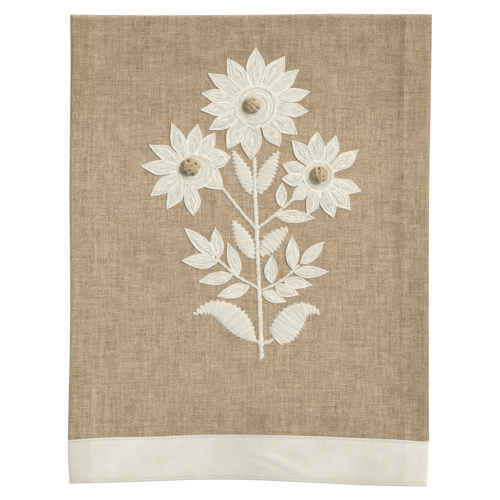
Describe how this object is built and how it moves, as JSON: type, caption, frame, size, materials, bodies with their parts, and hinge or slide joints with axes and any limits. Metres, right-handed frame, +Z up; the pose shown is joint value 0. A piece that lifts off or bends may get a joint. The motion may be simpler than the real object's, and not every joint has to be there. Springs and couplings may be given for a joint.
{
  "type": "tea towel",
  "caption": "Flat hemmed tea towel with its top folded under, a white band along its lower edge and raised yarn knots on an embroidered flower spray.",
  "frame": {"origin": "on the surface the towel lies on, under the middle of the towel's own box", "axes": "+X across the towel to the right, +Y up the towel from the white band to the top fold, +Z up from the surface"},
  "size_m": [0.4234, 0.5497, 0.0117],
  "materials": {
    "beige_cloth": "matt slubby linen-look weave, beige with pinkish and greenish threads",
    "white_cotton": "matt off-white closely woven cotton",
    "knot_yarn": "matt beige wound yarn"
  },
  "bodies": {
    "root": {"towel_cloth": "beige_cloth", "border_band": "white_cotton", "flower_knot_top": "knot_yarn", "flower_knot_left": "knot_yarn", "flower_knot_right": "knot_yarn"}
  },
  "joints": []
}
